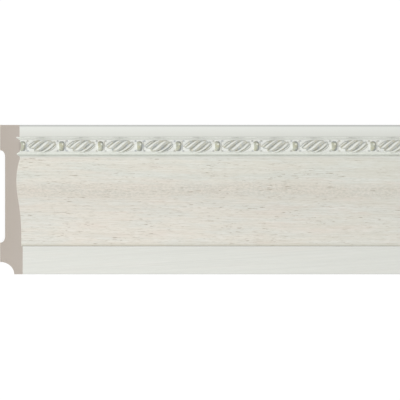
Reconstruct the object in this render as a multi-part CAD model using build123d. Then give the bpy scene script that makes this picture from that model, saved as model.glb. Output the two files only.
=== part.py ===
from build123d import *
from math import atan, degrees, radians, sin, sqrt, tan
import os

# Skirting board: one length of extruded, foil-faced moulding with a pressed
# pearl-and-rope strip near its top edge. It lies on its back, face up.
# X runs along the board, Y from the foot edge to the top edge, Z from the
# wall plane to the face. The origin is on the wall plane, under the middle.

# The whole board
board_length = 2400.0
board_height = 95.0

# Thickness of each member, from the wall plane to its face
foot_band_thickness = 20.4
panel_foot_thickness = 19.1
cove_thickness = 14.7
panel_nose_thickness = 17.85
strip_thickness = 18.0
top_fillet_thickness = 17.6

# Height of each member on the face, in order upwards from the foot edge
foot_band_height = 17.8
panel_flat_height = 7.2
cove_head_height = 14.3       # from the cove's deepest line up to the panel's nose
nose_height = 1.3
lower_quirk_width = 3.2
strip_width = 7.2
upper_quirk_width = 2.0
top_fillet_height = 7.7

# Quirks, arrises and the ogee, which takes what is left of the board's height
lower_quirk_depth = 3.8
upper_quirk_depth = 2.9
quirk_bottom_radius = 0.6
nose_radius = 1.1
arris_radius = 0.5
ogee_hollow_share = 0.33      # of the ogee's height that its hollow arc takes

# Back of the board
recess_depth = 4.55
recess_corner_radius = 4.0
recess_wall = 0.4             # straight wall left below a corner, at the least
lower_land_height = 12.3
upper_land_height = 16.2
cable_cove_height = 7.85
cable_cove_depth = 12.8

# Pearl-and-rope enrichment, pressed along the strip
motif_pitch = 35.0            # from one pearl's centre to the next
first_pearl = 2.0             # its centre, from the left end cut
pearl_width = 6.4
pearl_relief = 1.3
pearl_sides = 8
pearl_shoulder = 0.6          # share of the relief that the steeper lower tier takes
pearl_lower_taper = 20.0      # degrees, and the next too
pearl_upper_taper = 60.0
pearl_gap = 1.1               # from a pearl's edge to the tip of a rope
rope_relief = 1.5
strand_count = 5
strand_lean = 24.0            # degrees from the board's length
strand_groove = 0.25          # between two strands, at the strip's surface
strand_crown_share = 0.45     # of a strand's width at the strip that its crown keeps
root_depth = 0.9              # how far pearls and strands go below the strip's surface

# Lines on the face that the members share
ogee_foot = foot_band_height + panel_flat_height
fillet_foot = board_height - top_fillet_height
strip_head = fillet_foot - upper_quirk_width
strip_foot = strip_head - strip_width
quirk_foot = strip_foot - lower_quirk_width
cove_head = quirk_foot - nose_height
cove_line = cove_head - cove_head_height
lower_quirk_line = quirk_foot + lower_quirk_width / 2
lower_quirk_floor = panel_nose_thickness - lower_quirk_depth
upper_quirk_line = fillet_foot - quirk_bottom_radius
upper_quirk_floor = top_fillet_thickness - upper_quirk_depth
strip_middle = (strip_foot + strip_head) / 2 - board_height / 2

# The rope fills the space between two pearls, and its strands share its length.
# Their roots spread down the quirks' flanks on both sides of the strip.
root_spread = root_depth * lower_quirk_width / 2 / (strip_thickness - lower_quirk_floor)
rope_length = motif_pitch - pearl_width - 2 * pearl_gap
rope_width = strip_width + 2 * root_spread
strand_pitch = rope_length / strand_count
strand_width = strand_pitch * sin(radians(strand_lean)) - strand_groove


def face_members():
    """The face of the section as edges, from the foot up to the top edge."""
    ogee_height = cove_line - ogee_foot
    ogee_drop = panel_foot_thickness - cove_thickness
    turn = (cove_line - ogee_hollow_share * ogee_height,
            cove_thickness + ogee_hollow_share * ogee_drop)
    Polyline((0, foot_band_thickness), (foot_band_height, foot_band_thickness),
             (foot_band_height, panel_foot_thickness), (ogee_foot, panel_foot_thickness))
    TangentArc((ogee_foot, panel_foot_thickness), turn, tangent=(1, 0))
    TangentArc((cove_line, cove_thickness), turn, tangent=(-1, 0))
    TangentArc((cove_line, cove_thickness), (cove_head, panel_nose_thickness),
               tangent=(1, 0))
    Polyline((cove_head, panel_nose_thickness), (quirk_foot, panel_nose_thickness),
             (lower_quirk_line, lower_quirk_floor),
             (strip_foot, strip_thickness), (strip_head, strip_thickness))
    Polyline((strip_head, strip_thickness), (upper_quirk_line, upper_quirk_floor),
             (fillet_foot, upper_quirk_floor), (fillet_foot, top_fillet_thickness),
             (board_height, top_fillet_thickness), (board_height, 0))


def back_members():
    """The back of the section as edges, from the top edge down to the foot."""
    recess_head = board_height - upper_land_height
    recess_foot = cable_cove_height + lower_land_height
    corner = min(recess_corner_radius, recess_depth - recess_wall)
    wall = recess_depth - corner
    Polyline((board_height, 0), (recess_head, 0), (recess_head, wall))
    CenterArc((recess_head - corner, wall), corner, 0, 90)
    Line((recess_head - corner, recess_depth), (recess_foot + corner, recess_depth))
    CenterArc((recess_foot + corner, wall), corner, 90, 90)
    Polyline((recess_foot, wall), (recess_foot, 0), (cable_cove_height, 0))
    EllipticalCenterArc((0, 0), cable_cove_height, cable_cove_depth, 0, arc_size=90)
    Line((0, cable_cove_depth), (0, foot_band_thickness))


def rounded(sketch, height, thickness, radius):
    """The section with the corner nearest to this height and thickness rounded."""
    place = Vector(height, thickness)
    vertex = min(sketch.vertices(), key=lambda v: (Vector(*v) - place).length)
    return fillet(vertex, radius)


def board_blank():
    """The plain moulding, as it leaves the die."""
    with BuildSketch(Plane.YZ) as section:
        with BuildLine():
            face_members()
            back_members()
        make_face()
        rounded(section, 0, foot_band_thickness, arris_radius)
        rounded(section, foot_band_height, foot_band_thickness, arris_radius)
        rounded(section, quirk_foot, panel_nose_thickness, nose_radius)
        rounded(section, lower_quirk_line, lower_quirk_floor, quirk_bottom_radius)
        rounded(section, upper_quirk_line, upper_quirk_floor, quirk_bottom_radius)
        rounded(section, fillet_foot, top_fillet_thickness, arris_radius)
        rounded(section, board_height, top_fillet_thickness, arris_radius)
    blank = extrude(section.sketch, amount=board_length / 2, both=True)
    return Pos(0, -board_height / 2, 0) * blank


def pearl():
    """A low boss of two tapered tiers, a round bead with few sides."""
    shoulder = pearl_shoulder * pearl_relief
    base = Pos(0, strip_middle, strip_thickness - root_depth)
    lower = extrude(base * RegularPolygon(pearl_width / 2, pearl_sides),
                    amount=root_depth + shoulder, taper=pearl_lower_taper)
    upper = extrude(lower.faces().sort_by(Axis.Z)[-1], amount=pearl_relief - shoulder,
                    taper=pearl_upper_taper)
    return lower + upper


def strand_reach(place):
    """How far a strand centred at this place climbs before it meets the rope's edge."""
    half_length = rope_length / 2
    half_width = rope_width / 2
    slope = tan(radians(strand_lean))
    square = half_width / (half_length * slope) ** 2
    linear = 1 + 2 * half_width * place / (half_length**2 * slope)
    constant = half_width * ((place / half_length) ** 2 - 1)
    climb = (sqrt(linear**2 - 4 * square * constant) - linear) / (2 * square)
    return climb / sin(radians(strand_lean))


def rope():
    """A spindle of slanted strands, each a pointed bar with tapered sides."""
    side = strand_width * (1 - strand_crown_share) / 2
    root_half = strand_width / 2 + side * root_depth / rope_relief
    strands = []
    for index in range(strand_count):
        place = (index - (strand_count - 1) / 2) * strand_pitch
        upper_tip = strand_reach(place)
        lower_tip = -strand_reach(-place)
        shoulder = (upper_tip - lower_tip) / 4
        plan = Polygon((lower_tip, 0), (lower_tip + shoulder, -root_half),
                       (upper_tip - shoulder, -root_half), (upper_tip, 0),
                       (upper_tip - shoulder, root_half),
                       (lower_tip + shoulder, root_half), align=None)
        relief = rope_relief * (1 - (place / rope_length) ** 2)
        bar = extrude(plan, amount=root_depth + relief, dir=(0, 0, 1),
                      taper=degrees(atan(side / rope_relief)))
        base = Pos(place, strip_middle, strip_thickness - root_depth)
        strands.append(base * Rot(0, 0, strand_lean) * bar)
    return strands


def enrichment():
    """Every pearl and rope along the board, trimmed by the two end cuts."""
    end = board_length / 2
    between_ends = Box(board_length, 2 * board_height, 4 * foot_band_thickness)
    motif = [pearl()] + [Pos(motif_pitch / 2, 0, 0) * strand for strand in rope()]
    pieces = []
    for index in range(-1, int(board_length // motif_pitch) + 2):
        shift = Pos(first_pearl + index * motif_pitch - end, 0, 0)
        for piece in [shift * form for form in motif]:
            box = piece.bounding_box()
            if box.max.X <= -end or box.min.X >= end:
                continue
            if box.min.X < -end or box.max.X > end:
                piece = piece & between_ends
            pieces.append(piece)
    return pieces


skirting_board = board_blank() + enrichment()
skirting_board.label = "skirting_board"

os.makedirs("parts", exist_ok=True)
export_step(skirting_board, "parts/skirting_board.step")
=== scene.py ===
import bmesh
import bpy
from math import atan2, ceil, cos, exp, hypot, pi, radians, sin, sqrt, tan
from mathutils import Matrix, Vector


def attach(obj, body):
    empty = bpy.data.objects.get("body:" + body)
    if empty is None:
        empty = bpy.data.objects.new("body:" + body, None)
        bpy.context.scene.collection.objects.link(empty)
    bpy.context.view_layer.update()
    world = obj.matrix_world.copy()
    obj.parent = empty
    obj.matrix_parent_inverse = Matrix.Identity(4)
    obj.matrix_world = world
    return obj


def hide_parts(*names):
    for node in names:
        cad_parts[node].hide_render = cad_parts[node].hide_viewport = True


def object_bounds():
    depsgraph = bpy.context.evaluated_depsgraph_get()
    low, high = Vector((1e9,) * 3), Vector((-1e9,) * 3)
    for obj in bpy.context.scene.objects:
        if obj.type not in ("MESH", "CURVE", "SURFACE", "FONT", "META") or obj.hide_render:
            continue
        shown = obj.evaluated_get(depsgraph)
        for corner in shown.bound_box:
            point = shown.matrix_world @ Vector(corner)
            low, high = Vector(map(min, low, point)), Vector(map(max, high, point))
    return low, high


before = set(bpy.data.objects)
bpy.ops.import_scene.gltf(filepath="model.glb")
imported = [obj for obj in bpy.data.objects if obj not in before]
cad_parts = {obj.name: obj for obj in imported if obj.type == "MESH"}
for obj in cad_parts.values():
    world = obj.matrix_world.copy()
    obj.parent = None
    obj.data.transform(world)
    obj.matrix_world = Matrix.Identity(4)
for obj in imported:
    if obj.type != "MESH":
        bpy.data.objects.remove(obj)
cad_low, cad_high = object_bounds()

# The moulding: one length of extruded foamed plastic with a printed foil bonded to
# its face. The foil is whitewashed wood on the panel, and cool white on the foot band
# and the top fillet, where it wraps both edges. Ends and back are bare taupe foam.

mm = 0.001
board_left, board_right = cad_low.x, cad_high.x
board_foot, board_top = cad_low.y, cad_high.y
board_length = board_right - board_left
board_height = board_top - board_foot

# Thickness of each member, from the wall plane to its face
foot_band_thickness = 20.4 * mm
panel_foot_thickness = 19.1 * mm
cove_thickness = 14.7 * mm
panel_nose_thickness = 17.85 * mm
strip_thickness = 18.0 * mm
top_fillet_thickness = 17.6 * mm

# Height of each member on the face, in order upwards from the foot edge
foot_band_height = 17.8 * mm
panel_flat_height = 7.2 * mm
cove_head_height = 14.3 * mm  # from the cove's deepest line up to the panel's nose
nose_height = 1.3 * mm
lower_quirk_width = 3.2 * mm
strip_width = 7.2 * mm
upper_quirk_width = 2.0 * mm
top_fillet_height = 7.7 * mm

# Quirks, arrises and the ogee, which takes what is left of the board's height
lower_quirk_depth = 3.8 * mm
upper_quirk_depth = 2.9 * mm
quirk_bottom_radius = 0.6 * mm
nose_radius = 1.1 * mm
arris_radius = 0.5 * mm
ogee_hollow_share = 0.33      # of the ogee's height that its hollow arc takes
inlay_depth = 1.0 * mm        # of the seat that takes the ground of the ornament

# Back of the board
recess_depth = 4.55 * mm
recess_corner_radius = 4.0 * mm
lower_land_height = 12.3 * mm
upper_land_height = 16.2 * mm
cable_cove_height = 7.85 * mm
cable_cove_depth = 12.8 * mm

# Lines on the face that the members share
ogee_foot = foot_band_height + panel_flat_height
fillet_foot = board_height - top_fillet_height
strip_head = fillet_foot - upper_quirk_width
strip_foot = strip_head - strip_width
quirk_foot = strip_foot - lower_quirk_width
cove_head = quirk_foot - nose_height
cove_line = cove_head - cove_head_height

station_length = 40 * mm      # of the mesh, along the board
same_place = 0.0001 * mm      # between two points of the section that count as one
light_falloff_length = 900 * mm        # from one lightest, warmest place to the next, the first at the left end cut: painted light falling off along the board
grain_sway = 1.4 * mm         # up and down the face
CORE, BAND, PANEL, STRIP = range(4)      # places in board_finishes


def rounded_corner(before, corner, after, radius, steps=4):
    """Points of the round that takes off the corner between two straight runs."""
    before, corner, after = Vector(before), Vector(corner), Vector(after)
    back, ahead = (before - corner).normalized(), (after - corner).normalized()
    half_turn = back.angle(ahead) / 2
    centre = corner + (back + ahead).normalized() * radius / sin(half_turn)
    start = corner + back * radius / tan(half_turn) - centre
    end = corner + ahead * radius / tan(half_turn) - centre
    sweep = start.angle_signed(end)
    return [
        tuple(centre + Vector((
            start.x * cos(a) + start.y * sin(a), -start.x * sin(a) + start.y * cos(a)
        )))
        for a in (sweep * i / steps for i in range(steps + 1))
    ]


def level_arc(start, end, steps=10):
    """Points of the arc that leaves start along the board's face and meets end."""
    run, rise = end[0] - start[0], end[1] - start[1]
    angle = 2 * atan2(abs(rise), abs(run))
    radius = abs(run) / sin(angle)
    way = (1 if run > 0 else -1, 1 if rise > 0 else -1)
    return [
        (start[0] + way[0] * radius * sin(angle * i / steps),
         start[1] + way[1] * radius * (1 - cos(angle * i / steps)))
        for i in range(steps + 1)
    ]


def section_runs():
    """The section as (finish, points) runs, as heights from the foot and depths."""
    foot_arris = rounded_corner((0, 0), (0, foot_band_thickness),
                                (foot_band_height, foot_band_thickness), arris_radius)
    step_arris = rounded_corner((0, foot_band_thickness),
                                (foot_band_height, foot_band_thickness),
                                (foot_band_height, 0), arris_radius)
    turn = (cove_line - ogee_hollow_share * (cove_line - ogee_foot),
            cove_thickness + ogee_hollow_share * (panel_foot_thickness - cove_thickness))
    round_arc = level_arc((ogee_foot, panel_foot_thickness), turn)
    hollow_arc = level_arc((cove_line, cove_thickness), turn)[::-1]
    head_arc = level_arc((cove_line, cove_thickness), (cove_head, panel_nose_thickness))
    lower_bottom = (quirk_foot + lower_quirk_width / 2, panel_nose_thickness - lower_quirk_depth)
    nose = rounded_corner((cove_head, panel_nose_thickness), (quirk_foot, panel_nose_thickness),
                          lower_bottom, nose_radius)
    lower_quirk = rounded_corner((quirk_foot, panel_nose_thickness), lower_bottom,
                                 (strip_foot, strip_thickness), quirk_bottom_radius)
    inlay_floor = strip_thickness - inlay_depth
    upper_floor = top_fillet_thickness - upper_quirk_depth
    upper_bottom = (fillet_foot - quirk_bottom_radius, upper_floor)
    upper_quirk = rounded_corner((strip_head, strip_thickness), upper_bottom,
                                 (fillet_foot, upper_floor), quirk_bottom_radius)
    fillet_arris = rounded_corner((fillet_foot, upper_floor),
                                  (fillet_foot, top_fillet_thickness),
                                  (board_height, top_fillet_thickness), arris_radius)
    top_arris = rounded_corner((fillet_foot, top_fillet_thickness),
                               (board_height, top_fillet_thickness),
                               (board_height, 0), arris_radius)
    recess_head = board_height - upper_land_height
    recess_foot = cable_cove_height + lower_land_height
    recess = (
        rounded_corner((recess_head, 0), (recess_head, recess_depth),
                       (recess_foot, recess_depth), recess_corner_radius, steps=8)
        + rounded_corner((recess_head, recess_depth), (recess_foot, recess_depth),
                         (recess_foot, 0), recess_corner_radius, steps=8)
    )
    cove_steps = 14
    quarter = [pi / 2 * i / cove_steps for i in range(cove_steps)]
    cable_cove = [(cable_cove_height * cos(a), cable_cove_depth * sin(a)) for a in quarter]
    return [
        (BAND, [(0, cable_cove_depth)] + foot_arris + step_arris),
        (PANEL, [(foot_band_height, panel_foot_thickness)] + round_arc + hollow_arc[1:]
         + head_arc[1:] + nose),
        (STRIP, lower_quirk + [(strip_foot, strip_thickness)]),
        (CORE, [(strip_foot, inlay_floor), (strip_head, inlay_floor)]),
        (STRIP, [(strip_head, strip_thickness)] + upper_quirk + [(fillet_foot, upper_floor)]),
        (BAND, fillet_arris + top_arris + [(board_height, 0)]),
        (CORE, [(recess_head, 0)] + recess + [(recess_foot, 0)] + cable_cove),
    ]


def new_piece(name, verts, faces, slots, materials, sharp=30):
    """A mesh object at the origin, smooth but for edges that turn more than sharp degrees."""
    mesh = bpy.data.meshes.new(name)
    mesh.from_pydata(verts, [], faces)
    for material in materials:
        mesh.materials.append(material)
    mesh.polygons.foreach_set("material_index", slots)
    mesh.shade_smooth()
    mesh.set_sharp_from_angle(angle=radians(sharp))
    mesh.update()
    piece = bpy.data.objects.new(name, mesh)
    bpy.context.scene.collection.objects.link(piece)
    return piece


def srgb(red, green, blue):
    """A colour from its 0 to 255 screen values."""
    shares = [value / 255 for value in (red, green, blue)]
    return (*(s / 12.92 if s <= 0.04045 else ((s + 0.055) / 1.055) ** 2.4 for s in shares), 1)


class Nodes:
    """A node tree being drawn up, with short calls for the nodes that repeat."""

    def __init__(self, tree):
        self.tree = tree
        self.link = tree.links.new

    def add(self, kind, inputs=(), **settings):
        node = self.tree.nodes.new(kind)
        for key, value in settings.items():
            setattr(node, key, value)
        for key, value in dict(inputs).items():
            if isinstance(value, bpy.types.NodeSocket):
                self.link(value, node.inputs[key])
            else:
                node.inputs[key].default_value = value
        return node

    def math(self, operation, *values, clamp=False):
        inputs = {i: value for i, value in enumerate(values)}
        return self.add("ShaderNodeMath", inputs, operation=operation, use_clamp=clamp).outputs[0]

    def ramp(self, value, low, high, to_low=0.0, to_high=1.0):
        inputs = {0: value, 1: low, 2: high, 3: to_low, 4: to_high}
        node = self.add("ShaderNodeMapRange", inputs, interpolation_type="SMOOTHSTEP")
        return node.outputs[0]

    def mix(self, factor, first, second, blend="MIX"):
        inputs = {0: factor, 6: first, 7: second}
        node = self.add("ShaderNodeMix", inputs, data_type="RGBA", blend_type=blend)
        return node.outputs[2]

    def wash(self, colour, mask, strength, tint):
        """The colour with this much of a tint laid over it where the mask is 1."""
        return self.mix(self.math("MULTIPLY", mask, strength), colour, tint)

    def noise(self, place, stretch, detail=2.0, roughness=0.5, shift=(0, 0, 0)):
        """Noise on a place stretched so that its grain measures 1/stretch each way."""
        mapping = self.add("ShaderNodeMapping", {
            "Vector": place, "Scale": stretch, "Location": shift})
        node = self.add("ShaderNodeTexNoise", {
            "Vector": mapping.outputs[0], "Scale": 1.0, "Detail": detail, "Roughness": roughness})
        return node.outputs["Fac"]


def new_group(name, inputs, outputs):
    """A shader node group with named sockets, and its inner input and output nodes."""
    tree = bpy.data.node_groups.new(name, "ShaderNodeTree")
    for socket, kind, default in inputs:
        made = tree.interface.new_socket(socket, in_out="INPUT", socket_type=kind)
        if default is not None:
            made.default_value = default
    for socket, kind in outputs:
        tree.interface.new_socket(socket, in_out="OUTPUT", socket_type=kind)
    nodes = Nodes(tree)
    return nodes, nodes.add("NodeGroupInput").outputs, nodes.add("NodeGroupOutput").inputs


def new_material(name, roughness, specular):
    """A material with one Principled shader, the place on the object, and its node helper."""
    material = bpy.data.materials.new(name)
    material.use_nodes = True
    nodes = Nodes(material.node_tree)
    shader = material.node_tree.nodes["Principled BSDF"]
    shader.inputs["Roughness"].default_value = roughness
    shader.inputs["Specular IOR Level"].default_value = specular
    place = nodes.add("ShaderNodeTexCoord").outputs["Object"]
    return material, nodes, shader.inputs, place


def wood_grain_and_light_falloff_group():
    """Printed wood grain along X: clouds of two tints, light and dark streaks, long
    threads and short open pores, and a slow painted light falloff along the board
    from its left end cut. Length draws every mark out by so many times."""
    float_, vector = "NodeSocketFloat", "NodeSocketVector"
    nodes, given, result = new_group(
        "wood_grain_and_light_falloff",
        [("Place", vector, None), ("Lean", float_, 0.0), ("Length", float_, 1.0)],
        [(name, float_) for name in (
            "Cool", "Blush", "Light", "Thread", "Streak", "Pore", "Painted_falloff", "Height")])
    tilted = nodes.add("ShaderNodeVectorRotate", {
        "Vector": given["Place"], "Angle": given["Lean"]}, rotation_type="Z_AXIS").outputs[0]
    shorten = nodes.add("ShaderNodeCombineXYZ", {
        "X": nodes.math("DIVIDE", 1.0, given["Length"]), "Y": 1.0, "Z": 1.0}).outputs[0]
    tilted = nodes.add("ShaderNodeVectorMath", {0: tilted, 1: shorten},
                       operation="MULTIPLY").outputs[0]
    wave = nodes.noise(tilted, (20, 12, 12))
    sway = nodes.add("ShaderNodeCombineXYZ", {"Y": nodes.math("MULTIPLY", wave, grain_sway)})
    grain_line = nodes.add("ShaderNodeVectorMath", {0: tilted, 1: sway.outputs[0]}).outputs[0]

    def layer(along, across, low, high, detail=2.0, roughness=0.5, shift=(0, 0, 0)):
        """Marks of so many to the metre along and across, shown from low to high."""
        marks = nodes.noise(grain_line, (along, across, across), detail, roughness, shift)
        return nodes.ramp(marks, low, high)

    cool = layer(18, 185, 0.42, 0.62, 4.0, 0.62)
    blush = layer(20, 200, 0.5, 0.7, 4.0, 0.62, (7, 3, 0))
    light = layer(80, 1000, 0.5, 0.66, 3.0, 0.6, (3, 0, 0))
    thread = layer(13, 1500, 0.42, 0.66, 2.0, 0.5, (2, 13, 0))
    streak = layer(180, 1500, 0.48, 0.68, 4.0, 0.65)
    speck = layer(125, 2100, 0.6, 0.7, 2.0, 0.6, (11, 5, 0))
    open_grain = layer(30, 160, 0.4, 0.6, shift=(5, 9, 0))
    pore = nodes.math("MULTIPLY", speck, open_grain)
    along = nodes.add("ShaderNodeSeparateXYZ", {0: given["Place"]}).outputs["X"]
    # Painted light falling off along the board from the left end cut, on the key light's side:
    # lightest there and again every 900 mm
    turn = nodes.math("MULTIPLY", nodes.math("SUBTRACT", along, board_left), 2 * pi / light_falloff_length)
    light_falloff = nodes.math("MULTIPLY_ADD", nodes.math("COSINE", turn), 0.5, 0.5)
    for name, value in (("Cool", cool), ("Blush", blush), ("Light", light), ("Thread", thread),
                        ("Streak", streak), ("Pore", pore), ("Painted_falloff", light_falloff)):
        nodes.link(value, result[name])
    nodes.link(nodes.math("SUBTRACT", nodes.math("MULTIPLY", light, 0.3), pore), result["Height"])
    return nodes.tree


def bump(nodes, height, distance, strength):
    """A bump this high, for a shader's Normal."""
    inputs = {"Height": height, "Distance": distance, "Strength": strength}
    return nodes.add("ShaderNodeBump", inputs).outputs[0]


def height_up(nodes, place):
    """How far a point lies above the foot edge, up the board's face."""
    across = nodes.add("ShaderNodeSeparateXYZ", {0: place}).outputs["Y"]
    return nodes.math("SUBTRACT", across, board_foot)


def core_material():
    """Bare foamed plastic: taupe, matt, finely pored where it was sawn."""
    material, nodes, shader, place = new_material("taupe_foam", 0.85, 0.25)
    cells = nodes.noise(place, (2600, 2600, 2600))
    cloud = nodes.noise(place, (60, 60, 60), detail=3.0)
    colour = nodes.mix(nodes.ramp(cells, 0.35, 0.7), srgb(193, 184, 175), srgb(195, 186, 177))
    colour = nodes.mix(nodes.ramp(cloud, 0.3, 0.7), colour, srgb(193, 184, 174))
    nodes.link(colour, shader["Base Color"])
    nodes.link(bump(nodes, cells, 0.03 * mm, 0.3), shader["Normal"])
    return material


figure_foot = (44 * mm, 49 * mm)      # where it sets in, up the face
figure_head = (57 * mm, 52 * mm)
figure_wander = 6 * mm
figure_strength = 0.4
# A wavy painted shadow that the foot band's step casts on the panel just above it
step_shadow_width = 2.5 * mm
step_shadow_wander = 1.2 * mm
step_shadow_strength = 0.43
# Painted shade that evens out the key light, which falls brighter on the cove's head
hollow_reach = 4 * mm                 # either way of the cove's deepest line
hollow_shade = (0.948, 0.966, 0.966, 1)


def panel_material(grain):
    """Whitewashed wood foil: cream with cool and pink clouds, brown pores and a mottled
    figure along the cove; painted light falling off along the board from its left end,
    a wavy painted shadow just above the step, painted shade from the cove's deepest
    line up, and painted light and shade round the nose of the lower quirk."""
    material, nodes, shader, place = new_material("whitewashed_wood_foil", 0.5, 0.35)
    wood = nodes.add("ShaderNodeGroup", {}, node_tree=grain)
    nodes.link(place, wood.inputs["Place"])
    wood.inputs["Lean"].default_value = radians(0.6)
    up = height_up(nodes, place)
    # Painted light falling off from the left end cut, where the cream is also warmer
    colour = nodes.mix(wood.outputs["Painted_falloff"], srgb(221, 219, 208), srgb(232, 227, 216))
    for name, strength, tint in (
            ("Cool", 0.62, srgb(224, 226, 219)), ("Blush", 0.32, srgb(231, 217, 206)),
            ("Light", 0.4, srgb(239, 237, 230)), ("Thread", 0.26, srgb(202, 197, 184)),
            ("Streak", 0.44, srgb(202, 197, 183))):
        colour = nodes.wash(colour, wood.outputs[name], strength, tint)
    wander = nodes.math("MULTIPLY", nodes.noise(place, (14, 14, 14)), figure_wander)
    level = nodes.math("SUBTRACT", up, wander)
    figure = nodes.math("MULTIPLY", nodes.ramp(level, *figure_foot), nodes.ramp(level, *figure_head))
    mottle = nodes.ramp(nodes.noise(place, (420, 1100, 1100), 3.0, shift=(0, 7, 0)), 0.4, 0.6)
    figure_tint = nodes.mix(mottle, srgb(222, 214, 202), srgb(193, 189, 176))
    colour = nodes.wash(colour, figure, figure_strength, figure_tint)
    colour = nodes.wash(colour, wood.outputs["Pore"], 0.9, srgb(168, 157, 140))
    # A wavy painted shadow of the step, on the panel just above the foot band
    wander = nodes.math("MULTIPLY", nodes.noise(place, (60, 60, 60), 3.0), step_shadow_wander)
    level = nodes.math("SUBTRACT", nodes.math("SUBTRACT", up, wander), foot_band_height)
    step_shadow = nodes.ramp(level, step_shadow_width - 0.3 * mm, -0.3 * mm)
    colour = nodes.wash(colour, step_shadow, step_shadow_strength, srgb(198, 195, 180))
    # Painted shade: darker from the cove's deepest line upwards, where the key light falls brighter
    hollow = nodes.ramp(up, cove_line - hollow_reach, cove_line + hollow_reach)
    colour = nodes.mix(hollow, colour, hollow_shade, "MULTIPLY")
    # Painted light and shade round the lower quirk, in a cool grey: lighter over the nose, which its
    # rounding leaves in shade, and darker on the quirk's flank as painted shade
    quirk = nodes.ramp(up, quirk_foot - 0.9 * mm, quirk_foot)
    flank = nodes.ramp(up, quirk_foot + 0.2 * mm, quirk_foot + 0.5 * mm)
    quirk_tint = nodes.mix(flank, srgb(232, 233, 226), srgb(219, 220, 214))
    colour = nodes.mix(quirk, colour, quirk_tint)
    nodes.link(colour, shader["Base Color"])
    nodes.link(bump(nodes, wood.outputs["Height"], 0.05 * mm, 0.5), shader["Normal"])
    return material


def band_material(grain):
    """Cool white foil with a faint, slightly leaning grain. Painted shade runs grey along
    the top arris and at the foot of the fillet, a lighter grey runs along the foot arris,
    painted light lies on the arris of the step, the fillet is painted lighter towards its
    top, and painted light falls off along the board from its left end."""
    material, nodes, shader, place = new_material("cool_white_foil", 0.45, 0.35)
    wood = nodes.add("ShaderNodeGroup", {}, node_tree=grain)
    nodes.link(place, wood.inputs["Place"])
    wood.inputs["Lean"].default_value = radians(-2.5)
    wood.inputs["Length"].default_value = 2.0
    up = height_up(nodes, place)
    colour = srgb(227, 228, 221)
    for name, strength, tint in (
            ("Blush", 0.3, srgb(231, 227, 219)), ("Light", 0.28, srgb(236, 236, 231)),
            ("Thread", 0.18, srgb(208, 208, 203)), ("Streak", 0.12, srgb(208, 208, 202))):
        colour = nodes.wash(colour, wood.outputs[name], strength, tint)
    # Painted light: the fillet is lighter towards its top
    on_fillet = nodes.math("GREATER_THAN", up, fillet_foot - 1 * mm)
    lit = nodes.ramp(up, fillet_foot, board_height - 1 * mm)
    fillet = nodes.mix(lit, srgb(222, 223, 216), srgb(233, 235, 229))
    colour = nodes.mix(on_fillet, colour, fillet)
    shade = nodes.ramp(up, fillet_foot + 0.9 * mm, fillet_foot + 0.2 * mm)
    shade = nodes.math("MULTIPLY", shade, on_fillet)
    colour = nodes.wash(colour, shade, 0.75, srgb(206, 208, 201))
    # Painted shade, grey, along the top arris near the face; half as much grey along the foot arris
    top_arris = nodes.ramp(up, board_height - 1.6 * mm, board_height - 0.6 * mm)
    foot_arris = nodes.math("MULTIPLY", nodes.ramp(up, 0.8 * mm, 0.2 * mm), 0.5)
    out = nodes.add("ShaderNodeSeparateXYZ", {0: place}).outputs["Z"]
    near_face = nodes.ramp(out, top_fillet_thickness - 2.0 * mm, top_fillet_thickness - 0.8 * mm)
    arrises = nodes.math("MULTIPLY", nodes.math("MAXIMUM", top_arris, foot_arris), near_face)
    colour = nodes.wash(colour, arrises, 0.8, srgb(192, 194, 191))
    # Painted light on the arris of the step
    step = nodes.ramp(up, foot_band_height - 0.6 * mm, foot_band_height - 0.3 * mm)
    step = nodes.math("MULTIPLY", step, nodes.math("LESS_THAN", up, foot_band_height + 1 * mm))
    colour = nodes.mix(step, colour, srgb(246, 247, 243))
    # Painted light falling off from the left end cut
    light_falloff = nodes.mix(wood.outputs["Painted_falloff"], (0.965, 0.968, 0.968, 1), (1, 1, 1, 1))
    nodes.link(nodes.mix(1.0, colour, light_falloff, "MULTIPLY"), shader["Base Color"])
    nodes.link(bump(nodes, wood.outputs["Height"], 0.02 * mm, 0.3), shader["Normal"])
    return material


warm_cast = (1.03, 1.0, 0.93, 1)      # the stain drifts between these two
cool_cast = (0.97, 1.0, 1.07, 1)


def patina_and_shade_group():
    """An antiqued finish with painted light and shade: wiped white and painted light where the
    level is 0, then the stain, and at 1 the dark colour of dirt and of painted shade.
    """
    float_, vector, colour = "NodeSocketFloat", "NodeSocketVector", "NodeSocketColor"
    nodes, given, result = new_group(
        "antiquing_and_shade",
        [("Place", vector, None), ("Patina_and_painted_shade", float_, 0.0), ("Speckle", float_, 0.3),
         ("Stain", colour, None), ("Grime_and_painted_shade", colour, None)],
        [("Color", colour), ("Rubbed_and_painted_light", float_)])
    speck = nodes.noise(given["Place"], (1150, 1150, 1150), roughness=0.6)
    drift = nodes.noise(given["Place"], (110, 110, 110))
    stain = nodes.math("ADD", nodes.math("SUBTRACT", speck, 0.5),
                       nodes.math("MULTIPLY", nodes.math("SUBTRACT", drift, 0.5), 0.6))
    stain = nodes.math("MULTIPLY", stain, given["Speckle"])
    level = nodes.math("MULTIPLY_ADD", stain, nodes.math("ADD", given["Patina_and_painted_shade"], 0.15),
                       given["Patina_and_painted_shade"], clamp=True)
    tint = nodes.mix(nodes.ramp(level, 0.05, 0.55), srgb(240, 242, 236), given["Stain"])
    tint = nodes.mix(nodes.ramp(level, 0.5, 1.0), tint, given["Grime_and_painted_shade"])
    cast = nodes.ramp(nodes.noise(given["Place"], (420, 420, 420), shift=(3, 0, 0)), 0.36, 0.64)
    cast = nodes.mix(cast, warm_cast, cool_cast)
    tint = nodes.mix(nodes.ramp(level, 0.1, 0.6), tint, nodes.mix(1.0, tint, cast, "MULTIPLY"))
    nodes.link(tint, result["Color"])
    nodes.link(nodes.math("SUBTRACT", 1.0, level), result["Rubbed_and_painted_light"])
    return nodes.tree


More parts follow.
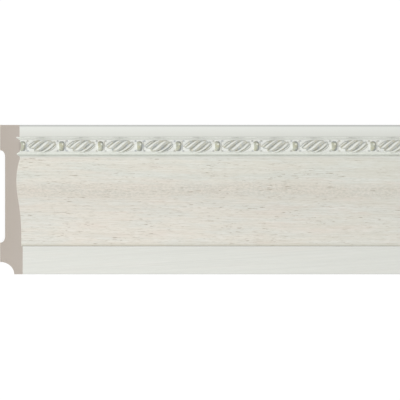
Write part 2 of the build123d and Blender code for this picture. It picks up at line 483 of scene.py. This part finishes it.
def strip_material(antiquing_and_shade, name, stain, grime_and_shade):
    """The antiqued white of the strip, its quirks and its relief, stained by the antiqued
    stain and painted shade that each piece carries in its own attribute. The quirks'
    flanks and the upper quirk's bottom take painted light; the lower quirk's bottom and
    the upper quirk's corner take painted shade."""
    material, nodes, shader, place = new_material(name, 0.5, 0.35)
    finish = nodes.add("ShaderNodeGroup", {}, node_tree=antiquing_and_shade)
    nodes.link(place, finish.inputs["Place"])
    finish.inputs["Stain"].default_value = stain
    finish.inputs["Grime_and_painted_shade"].default_value = grime_and_shade
    finish.inputs["Speckle"].default_value = 1.2
    # The attribute carries painted shade and painted light as well as the stain
    stain_and_shade = nodes.add("ShaderNodeAttribute", {}, attribute_name="patina_and_shade").outputs["Fac"]
    nodes.link(stain_and_shade, finish.inputs["Patina_and_painted_shade"])
    up = height_up(nodes, place)
    # The flanks of both quirks: white foil, lightened further as painted light where the quirks lie
    # in shade
    lower = nodes.ramp(up, strip_foot + 0.2 * mm, strip_foot - 0.3 * mm)
    upper = nodes.ramp(up, strip_head - 0.2 * mm, strip_head + 0.4 * mm)
    colour = nodes.mix(lower, finish.outputs["Color"], srgb(236, 238, 232))
    colour = nodes.mix(upper, colour, srgb(252, 253, 249))
    # The quirks' bottoms: painted shade along the lower quirk's, painted light on the upper quirk's
    bottoms = nodes.math(
        "MAXIMUM", nodes.ramp(up, strip_foot - 1.2 * mm, strip_foot - 1.8 * mm),
        nodes.ramp(up, strip_head + 0.9 * mm, strip_head + 1.6 * mm))
    bottom = nodes.mix(nodes.math("GREATER_THAN", up, strip_head), srgb(230, 232, 226),
                       srgb(249, 250, 246))
    colour = nodes.mix(bottoms, colour, bottom)
    # Painted shade in the upper quirk's corner against the fillet
    corner = nodes.ramp(up, fillet_foot - 0.65 * mm, fillet_foot - 0.5 * mm)
    colour = nodes.mix(corner, colour, srgb(246, 247, 243))
    nodes.link(colour, shader["Base Color"])
    rubbed_and_lit = nodes.ramp(finish.outputs["Rubbed_and_painted_light"], 0.0, 1.0, 0.65, 0.42)
    nodes.link(rubbed_and_lit, shader["Roughness"])
    return material


def moulding(materials):
    """The board without its strip: its section swept from one end cut to the other."""
    ring, ring_finishes = [], []
    for finish, points in section_runs():
        for point in points:
            if ring and hypot(ring[-1][0] - point[0], ring[-1][1] - point[1]) < same_place:
                continue
            ring.append(point)
            ring_finishes.append(finish)
    stations = ceil(board_length / station_length)
    verts = [
        (board_left + board_length * i / stations, board_foot + up, out)
        for i in range(stations + 1) for up, out in ring
    ]
    size = len(ring)
    faces, slots = [], []
    for i in range(stations):
        for j in range(size):
            k = (j + 1) % size
            faces.append((i * size + j, (i + 1) * size + j, (i + 1) * size + k, i * size + k))
            slots.append(ring_finishes[j])
    faces.append(tuple(range(size)))
    faces.append(tuple(stations * size + j for j in range(size))[::-1])
    slots += [CORE, CORE]
    return new_piece("moulding", verts, faces, slots, materials)


grain = wood_grain_and_light_falloff_group()
antiquing_and_shade = patina_and_shade_group()
board_finishes = [
    core_material(), band_material(grain), panel_material(grain),
    strip_material(antiquing_and_shade, "antiqued_white_and_painted_shade", srgb(199, 200, 194), srgb(164, 166, 163)),
]
board = moulding(board_finishes)
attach(board, "root")
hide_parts("skirting_board")

# The ground of the ornament: the strip's own surface between its two quirks, one
# with the board. The roller that pressed the relief left four small pits round each
# pearl, and each pearl casts a painted shadow on the ground between it and the
# rope to its right.

motif_pitch = 35.0 * mm
first_pearl = 2.0 * mm                # its centre, from the left end cut
strip_middle = board_foot + (strip_foot + strip_head) / 2
pit_depth = 0.55 * mm
pit_half_length = 0.95 * mm
pit_half_width = 0.45 * mm
pit_after, pit_before = 5.3 * mm, 2.8 * mm      # right and left of a pearl's centre
pit_above, pit_below = 3.1 * mm, 3.3 * mm
# The painted shadow that each pearl casts on the ground to its right
pearl_shadow_after = 3.85 * mm
pearl_shadow_reach = 0.5 * mm
pearl_shadow_half_width = 2.9 * mm
ground_patina = 0.17
pit_patina = 0.7
pearl_shadow_strength = 0.8
least_row = 0.01 * mm                 # rows nearer to each other than this are one
weld_distance = 0.001 * mm
cut_snap = 0.00001 * mm
trim = 0.02 * mm                      # how far inside the end cuts the ornament stops


def strip_tile():
    """One pitch of the strip, open at its two ends, centred on a pearl."""
    fine = [k / 4 for k in range(-6, 7)]
    stations = sorted(
        {-motif_pitch / 2, motif_pitch / 2}
        | {-pit_before + k * pit_half_length for k in fine}
        | {pit_after + k * pit_half_length for k in fine}
        | {pearl_shadow_after + k * pearl_shadow_reach for k in fine[2:-2]})
    half = strip_width / 2
    rows = sorted(
        {-half, 0.0, half}
        | {min(pit_above + k * pit_half_width, half) for k in fine}
        | {-min(pit_below + k * pit_half_width, half) for k in fine})
    rows = [row for i, row in enumerate(rows) if i == 0 or row - rows[i - 1] > least_row]
    verts, patina_and_shade = [], []
    for x in stations:
        for y in rows:
            sink = sum(
                exp(-((x - px) / pit_half_length) ** 2 - ((y - py) / pit_half_width) ** 2)
                for px in (-pit_before, pit_after) for py in (-pit_below, pit_above))
            # Painted shadow of the pearl, on the ground to its right
            grime_and_shade = exp(-((x - pearl_shadow_after) / pearl_shadow_reach) ** 2 - (y / pearl_shadow_half_width) ** 4)
            inside = 1 if abs(y) < half - least_row else 0
            verts.append((x, strip_middle + y, strip_thickness - pit_depth * sink * inside))
            patina_and_shade.append(min(1.0, ground_patina + pit_patina * sink + pearl_shadow_strength * grime_and_shade))
        for y in (half, -half):
            verts.append((x, strip_middle + y, strip_thickness - inlay_depth))
            patina_and_shade.append(ground_patina)
    size = len(rows) + 2
    faces = []
    for i in range(len(stations) - 1):
        for j in range(size):
            k = (j + 1) % size
            faces.append((i * size + j, (i + 1) * size + j, (i + 1) * size + k, i * size + k))
    return verts, faces, patina_and_shade


def motif(name, verts, faces, patina_and_shade, material):
    """One pattern form, kept off the stage, with the stain and painted shade that it carries."""
    mesh = bpy.data.meshes.new(name)
    mesh.from_pydata(verts, [], faces)
    mesh.materials.append(material)
    mesh.shade_smooth()
    mesh.attributes.new("patina_and_shade", "FLOAT", "POINT").data.foreach_set("value", patina_and_shade)
    return bpy.data.objects.new(name, mesh)


def repeat_tree():
    """Geometry Nodes that set one form at every pitch along the board."""
    tree = bpy.data.node_groups.new("repeat_along_the_board", "GeometryNodeTree")
    for name, kind in (("Form", "NodeSocketObject"), ("Count", "NodeSocketInt"),
                       ("First", "NodeSocketFloat"), ("Pitch", "NodeSocketFloat"),
                       ("Finish", "NodeSocketMaterial")):
        tree.interface.new_socket(name, in_out="INPUT", socket_type=kind)
    tree.interface.new_socket("Geometry", in_out="OUTPUT", socket_type="NodeSocketGeometry")
    nodes = Nodes(tree)
    given = nodes.add("NodeGroupInput").outputs
    start = nodes.add("ShaderNodeCombineXYZ", {"X": given["First"]}).outputs[0]
    step = nodes.add("ShaderNodeCombineXYZ", {"X": given["Pitch"]}).outputs[0]
    line = nodes.add("GeometryNodeMeshLine", {
        "Count": given["Count"], "Start Location": start, "Offset": step})
    form = nodes.add("GeometryNodeObjectInfo", {"Object": given["Form"]})
    placed = nodes.add("GeometryNodeInstanceOnPoints", {
        "Points": line.outputs[0], "Instance": form.outputs["Geometry"]})
    real = nodes.add("GeometryNodeRealizeInstances", {"Geometry": placed.outputs[0]})
    joined = nodes.add("GeometryNodeMergeByDistance", {
        "Geometry": real.outputs[0], "Distance": weld_distance})
    finish = nodes.add("GeometryNodeSetMaterial", {
        "Geometry": joined.outputs[0], "Material": given["Finish"]})
    output = nodes.add("NodeGroupOutput")
    nodes.link(finish.outputs[0], output.inputs["Geometry"])
    return tree


repeat = repeat_tree()


def run_of(name, form, first, sharp=35):
    """The form repeated along the board, trimmed at both end cuts and closed there."""
    reach = max(abs(v.co.x) for v in form.data.vertices)
    start = first - ceil((first + reach) / motif_pitch) * motif_pitch
    count = ceil((board_length - start + reach) / motif_pitch)
    carrier = bpy.data.objects.new(name + "_carrier", bpy.data.meshes.new(name + "_carrier"))
    bpy.context.scene.collection.objects.link(carrier)
    modifier = carrier.modifiers.new("repeat", "NODES")
    modifier.node_group = repeat
    values = {"Form": form, "Count": count, "First": board_left + start,
              "Pitch": motif_pitch, "Finish": form.data.materials[0]}
    for socket in repeat.interface.items_tree:
        if socket.name in values:
            modifier[socket.identifier] = values[socket.name]
    bpy.context.view_layer.update()
    evaluated = carrier.evaluated_get(bpy.context.evaluated_depsgraph_get())
    mesh = bpy.data.meshes.new_from_object(evaluated)
    bpy.data.objects.remove(carrier)
    mesh.name = name
    mesh.materials.append(board_finishes[CORE])
    shape = bmesh.new()
    shape.from_mesh(mesh)
    for end, way in ((board_left + trim, -1), (board_right - trim, 1)):
        everything = shape.verts[:] + shape.edges[:] + shape.faces[:]
        cut = bmesh.ops.bisect_plane(
            shape, geom=everything, dist=cut_snap, plane_co=(end, 0, 0),
            plane_no=(way, 0, 0), clear_outer=True)
        edges = [e for e in cut["geom_cut"] if isinstance(e, bmesh.types.BMEdge)]
        if edges:
            for face in bmesh.ops.contextual_create(shape, geom=edges)["faces"]:
                face.material_index = 1      # the bare foam
    bmesh.ops.recalc_face_normals(shape, faces=shape.faces[:])
    shape.to_mesh(mesh)
    shape.free()
    mesh.shade_smooth()
    mesh.set_sharp_from_angle(angle=radians(sharp))
    piece = bpy.data.objects.new(name, mesh)
    bpy.context.scene.collection.objects.link(piece)
    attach(piece, "root")
    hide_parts("skirting_board")
    return piece


ground_form = motif("strip_tile", *strip_tile(), board_finishes[STRIP])
run_of("ornament_ground", ground_form, first_pearl)

# The pearls: low, squarish rounded bosses pressed up out of the strip's foam, one to
# each pitch. Their left flanks, towards the key light, are wiped white and painted
# lighter; the olive stain stays on the rest, with painted shade on the right flank and
# the head, darker towards the foot, and a painted highlight near the crown.

pearl_half_length = 2.95 * mm
pearl_half_width = 3.15 * mm
pearl_middle = strip_middle - 0.25 * mm
pearl_relief = 1.3 * mm
pearl_root = 0.25 * mm
pearl_squareness = 3.0                # 2 would be an oval
pearl_bend = 0.55 * mm                # how far its head and foot lean to the right
pearl_patina = 0.56
crown_patina = 0.6
# A painted highlight near the pearl's crown
glint_middle = (0.2 * mm, 1.35 * mm)
glint_half_length = 0.95 * mm
glint_half_width = 0.75 * mm


def eased(value, low, high):
    """A smooth step from 0 at low to 1 at high."""
    share = max(0.0, min(1.0, (value - low) / (high - low)))
    return share * share * (3 - 2 * share)


def pearl():
    """One boss, as rings from its root up to its crown."""
    rings, around = 8, 24
    verts, faces, patina_and_shade = [], [], []
    for i in range(rings):
        share = sin(pi / 2 * (1 - i / rings))
        height = sqrt(1 - share**2)
        for j in range(around):
            a = 2 * pi * j / around
            swell = abs(cos(a)) ** pearl_squareness + abs(sin(a)) ** pearl_squareness
            reach = share / swell ** (1 / pearl_squareness)
            x, y = pearl_half_length * reach * cos(a), pearl_half_width * reach * sin(a)
            z = strip_thickness - pearl_root + (pearl_relief + pearl_root) * height
            along, up = x / pearl_half_length, y / pearl_half_width
            verts.append((x + pearl_bend * up**2, pearl_middle + y, z))
            # The left flank, towards the key light: wiped white and painted light
            rubbed_and_lit = eased(along, -0.7, -0.95)
            # A painted highlight near the crown
            glint = exp(-((x - glint_middle[0]) / glint_half_length) ** 2
                        - ((y - glint_middle[1]) / glint_half_width) ** 2)
            # Painted shade on the right flank and the head; darker towards the foot
            right = 0.32 * eased(along, -0.3, 0.5) + 0.25 * eased(along, 0.35, 0.75)
            above = 0.3 * eased(up + 0.25 * along, 0.45, 0.95)
            below = 0.26 * eased(0.4 * along - up, 0.3, 0.95)
            stain_and_shade = pearl_patina + right + above + below - 0.5 * rubbed_and_lit - 0.6 * glint
            patina_and_shade.append(max(0.0, min(1.0, stain_and_shade)))
    crown, root = len(verts), len(verts) + 1
    verts += [(0, pearl_middle, strip_thickness + pearl_relief),
              (0, pearl_middle, strip_thickness - pearl_root)]
    patina_and_shade += [crown_patina, crown_patina]
    for j in range(around):
        k = (j + 1) % around
        for i in range(rings - 1):
            faces.append((i * around + j, i * around + k, (i + 1) * around + k, (i + 1) * around + j))
        faces.append(((rings - 1) * around + j, (rings - 1) * around + k, crown))
        faces.append((k, j, root))
    return verts, faces, patina_and_shade


olive = strip_material(antiquing_and_shade, "antiqued_olive_and_painted_shade", srgb(190, 191, 170), srgb(144, 146, 140))
run_of("pearls", motif("pearl", *pearl(), olive), first_pearl)

# The ropes: a spindle of twisted strands between every two pearls, pressed up out of
# the strip's foam. Each strand climbs in a slight S, steep and wiped white on its left,
# and slopes off to the right, where the cream stain stays. Painted shade darkens the
# rope along its upper rim.

rope_half_length = 13.2 * mm
rope_middle = strip_middle - 0.25 * mm
rope_relief = 1.5 * mm
rope_root = 0.8 * mm
# Both outlines run from the left tip, as places along the rope and heights, in mm.
rope_upper = [(-13.0, 0.0), (-12.3, 0.9), (-11.0, 2.2), (-9.0, 2.8), (-6.0, 3.15), (-4.3, 3.5),
              (-3.0, 4.0), (0.0, 4.35), (3.5, 4.3), (7.0, 4.0), (9.2, 3.6), (11.5, 2.9),
              (12.9, 2.4), (13.4, 0.8)]
rope_lower = [(-13.0, 0.0), (-12.3, -0.6), (-11.0, -1.3), (-9.6, -1.6), (-8.2, -1.9), (-7.2, -2.7),
              (-6.4, -3.5), (-5.4, -4.05), (-4.5, -4.2), (-1.5, -4.05), (0.3, -4.25),
              (2.5, -4.65), (4.2, -4.45), (5.9, -3.65), (7.6, -3.05), (9.2, -2.75),
              (10.6, -2.35), (11.7, -1.8), (12.5, -1.0), (13.0, -0.3), (13.4, 0.6)]
rim_tuck = 0.12 * mm
rim_margin = 0.1 * mm                 # inside the strip's edge, where the rim starts to dip
base_length_share, base_width_share = 0.98, 0.9      # of the rim, hidden in the strip
# Where each strand's crest crosses the middle line, from the rope's middle.
strand_crests = [x * mm for x in (-15.4, -12.75, -8.75, -1.35, 7.1, 11.3, 13.1, 14.6)]
strand_slope = 1.5                    # along the rope for each step up it
lower_curl, upper_curl = 0.055 / mm**2, 0.035 / mm**2
# Each row is a share of the way to the next crest, then height, stain and white streak.
strand_profile = [(0.0, 1.0, 0.15, 0.0), (0.13, 0.96, 0.17, 0.0), (0.26, 0.78, 0.55, 0.0),
                  (0.42, 0.56, 0.6, 0.0), (0.52, 0.4, 0.62, 0.1), (0.63, 0.24, 0.66, 0.36),
                  (0.74, 0.0, 0.9, 0.0), (0.83, 0.62, 0.5, 0.0), (0.92, 0.9, 0.2, 0.0)]
end_column = (0.1, 0.5, 0.0)          # height, stain and streak at both ends
full_stain_width = 5 * mm             # a narrower strand is stained less
streak_foot, streak_head = 0.6 * mm, 1.8 * mm        # between them the streak sets in
# Painted shade at the rope's upper rim, which faces away from the key light
upper_edge_shade = 0.53
lower_edge_patina = 0.68
base_patina = 0.5
tip_patina = 0.28
rope_reach = 12.8 * mm
rope_rows = 12
tip_search = 5 * mm                   # beyond every outline
halvings = 24


def rope_edge(x, outline):
    """The height of the rope's upper or lower outline at this place along it."""
    place = x / mm
    if place <= outline[0][0] or place >= outline[-1][0]:
        return 0.0
    for (x0, y0), (x1, y1) in zip(outline, outline[1:]):
        if place <= x1:
            return (y0 + (y1 - y0) * (place - x0) / (x1 - x0)) * mm


def strand_line(start, y):
    """Where a strand that crosses the middle line at start has got to at this height."""
    curl = lower_curl if y < 0 else upper_curl
    return start + strand_slope * y + curl * y**3


def strand_tip(start, outline):
    """The height at which a strand runs out of this outline, found by halving."""
    side = 1 if outline is rope_upper else -1
    low, high = 0.0, tip_search
    for _ in range(halvings):
        middle = (low + high) / 2
        if middle < side * rope_edge(strand_line(start, side * middle), outline):
            low = middle
        else:
            high = middle
    return side * low


def rope():
    """One rope as a grid along and across its strands. A skirt from its rim down to a
    smaller base, hidden in the strip, closes it."""
    columns = []
    for crest, following in zip(strand_crests, strand_crests[1:]):
        width = following - crest
        depth = 0.5 + 0.5 * min(1.0, width / full_stain_width)
        for share, height, stain, streak in strand_profile:
            columns.append((crest + share * width, height, stain * depth, streak))
    columns = [column for column in columns if abs(column[0]) < rope_reach]
    columns = [(-rope_reach, *end_column)] + columns + [(rope_reach, *end_column)]
    verts, faces, patina_and_shade = [], [], []
    flank = lower_quirk_width / 2 / (lower_quirk_depth + strip_thickness - panel_nose_thickness)
    for start, height, stain, streak in columns:
        low, high = strand_tip(start, rope_lower), strand_tip(start, rope_upper)
        narrow = 1 - 0.1 * (1 - height)
        for row in range(rope_rows + 1):
            s = -1 + 2 * row / rope_rows      # from the lower tip, -1, to the upper, 1
            y = (low + high) / 2 + (high - low) / 2 * sin(pi / 2 * s) * narrow
            x = strand_line(start, y)
            dome = max(0.0, 1 - s * s) ** 0.5
            swell = max(0.0, 1 - (x / rope_half_length) ** 2) ** 0.3
            rise = rope_relief * dome * swell * (0.35 + 0.65 * height)
            over = max(0.0, abs(rope_middle - strip_middle + y) - strip_width / 2 + rim_margin)
            drop = (rim_tuck + over / flank) * (1 - dome) ** 2
            verts.append((x, rope_middle + y, strip_thickness + rise - drop))
            tip = tip_patina * (abs(start) / rope_reach) ** 6
            stain_and_shade = stain * (0.75 + 0.25 * dome) - streak * eased(y, streak_foot, streak_head)
            # Painted shade along the rope's upper rim
            above = (upper_edge_shade - stain_and_shade) * eased(s, 0.34, 0.76)
            below = (lower_edge_patina - stain_and_shade) * eased(-s, 0.58, 0.78)
            stain_and_shade += above + below
            patina_and_shade.append(max(stain_and_shade, tip))
    size = rope_rows + 1
    for i in range(len(columns) - 1):
        for j in range(rope_rows):
            faces.append((i * size + j, (i + 1) * size + j, (i + 1) * size + j + 1, i * size + j + 1))
    rim = (
        [i * size for i in range(len(columns))]
        + [(len(columns) - 1) * size + j for j in range(1, size)]
        + [i * size + rope_rows for i in range(len(columns) - 2, -1, -1)]
        + list(range(rope_rows - 1, 0, -1))
    )
    base = len(verts)
    for index in rim:
        x, y, z = verts[index]
        y = rope_middle + base_width_share * (y - rope_middle)
        verts.append((base_length_share * x, y, strip_thickness - rope_root))
        patina_and_shade.append(base_patina)
    count = len(rim)
    for k in range(count):
        n = (k + 1) % count
        faces.append((rim[n], rim[k], base + k, base + n))
    faces.append(tuple(base + k for k in range(count))[::-1])
    return verts, faces, patina_and_shade


cream = strip_material(antiquing_and_shade, "antiqued_cream_and_painted_shade", srgb(197, 198, 187), srgb(161, 164, 160))
run_of("ropes", motif("rope", *rope(), cream), first_pearl + motif_pitch / 2, sharp=60)

# The stage: a plain white floor that shows white to the camera and keeps the
# board's soft shadow, and one large soft key light over its foot side and left end.

floor_size = 12.0
floor_glow = 0.95
floor_seen_grey = 0.1                 # keeps the soft shadow under the glow
floor_bounce_grey = 0.8
sky_strength = 0.66
key_towards = (-0.52, -0.38, 0.77)    # from the board's left end
key_distance = 3.4
key_size = 1.2
key_irradiance = 1.38
view_angle = radians(45)
picture_pixels = 400
pixel_width = 0.6359 * mm
frame_width = picture_pixels * pixel_width
frame_centre_up = 47.25 * mm
camera_distance = 1.5


def background_nodes(tree):
    """The tree's nodes, and a value that is 1 for the rays that show the background:
    straight to the camera, in gloss or through something clear."""
    nodes = Nodes(tree)
    path = nodes.add("ShaderNodeLightPath").outputs
    seen = nodes.math("MAXIMUM", path["Is Camera Ray"], path["Is Glossy Ray"])
    seen = nodes.math("MAXIMUM", seen, path["Is Transmission Ray"])
    return nodes, seen


def floor():
    """The floor plane, level with the board's back."""
    half = floor_size / 2
    mesh = bpy.data.meshes.new("floor")
    mesh.from_pydata([(-half, -half, 0), (half, -half, 0), (half, half, 0), (-half, half, 0)],
                     [], [(0, 1, 2, 3)])
    material = bpy.data.materials.new("floor")
    material.use_nodes = True
    material.node_tree.nodes.clear()
    nodes, seen = background_nodes(material.node_tree)
    bounce, dim = [
        nodes.add("ShaderNodeBsdfDiffuse", {"Color": (grey, grey, grey, 1)}).outputs[0]
        for grey in (floor_bounce_grey, floor_seen_grey)]
    glow = nodes.add("ShaderNodeEmission", {"Strength": floor_glow}).outputs[0]
    shown = nodes.add("ShaderNodeAddShader", {0: dim, 1: glow}).outputs[0]
    mixed = nodes.add("ShaderNodeMixShader", {0: seen, 1: bounce, 2: shown}).outputs[0]
    output = nodes.add("ShaderNodeOutputMaterial")
    nodes.link(mixed, output.inputs["Surface"])
    mesh.materials.append(material)
    plane = bpy.data.objects.new("floor", mesh)
    bpy.context.scene.collection.objects.link(plane)


def studio_sky():
    """Even white light from all round, and plain white behind the board."""
    sky = bpy.data.worlds.new("studio")
    sky.use_nodes = True
    sky.node_tree.nodes.clear()
    nodes, seen = background_nodes(sky.node_tree)
    light, white = [
        nodes.add("ShaderNodeBackground", {"Color": (1, 1, 1, 1), "Strength": strength}).outputs[0]
        for strength in (sky_strength, 1.0)]
    mixed = nodes.add("ShaderNodeMixShader", {0: seen, 1: light, 2: white}).outputs[0]
    output = nodes.add("ShaderNodeOutputWorld")
    nodes.link(mixed, output.inputs["Surface"])
    bpy.context.scene.world = sky


def key_lamp():
    """A large round soft box over the foot side, off the left end."""
    light = bpy.data.lights.new("key", "AREA")
    light.shape = "DISK"
    light.size = key_size
    light.energy = key_irradiance * pi * key_distance**2
    holder = bpy.data.objects.new("key", light)
    away = Vector(key_towards).normalized()
    holder.location = Vector((board_left, 0, 0)) + away * key_distance
    holder.rotation_mode = "QUATERNION"
    holder.rotation_quaternion = away.to_track_quat("Z", "Y")
    bpy.context.scene.collection.objects.link(holder)


def camera():
    """A parallel view of the left end, from 45 degrees off the face."""
    lens = bpy.data.cameras.new("camera")
    lens.type = "ORTHO"
    lens.ortho_scale = frame_width
    lens.clip_end = 10
    middle = Vector((board_left + frame_width / 2 / cos(view_angle), board_foot + frame_centre_up, 0))
    across = Vector((cos(view_angle), 0, sin(view_angle)))
    away = Vector((-sin(view_angle), 0, cos(view_angle)))
    holder = bpy.data.objects.new("camera", lens)
    holder.location = middle + away * camera_distance
    holder.rotation_mode = "QUATERNION"
    holder.rotation_quaternion = Matrix((across, (0, 1, 0), away)).transposed().to_quaternion()
    bpy.context.scene.collection.objects.link(holder)
    bpy.context.scene.camera = holder


floor()
studio_sky()
key_lamp()
camera()
bpy.context.scene.view_settings.view_transform = "Standard"
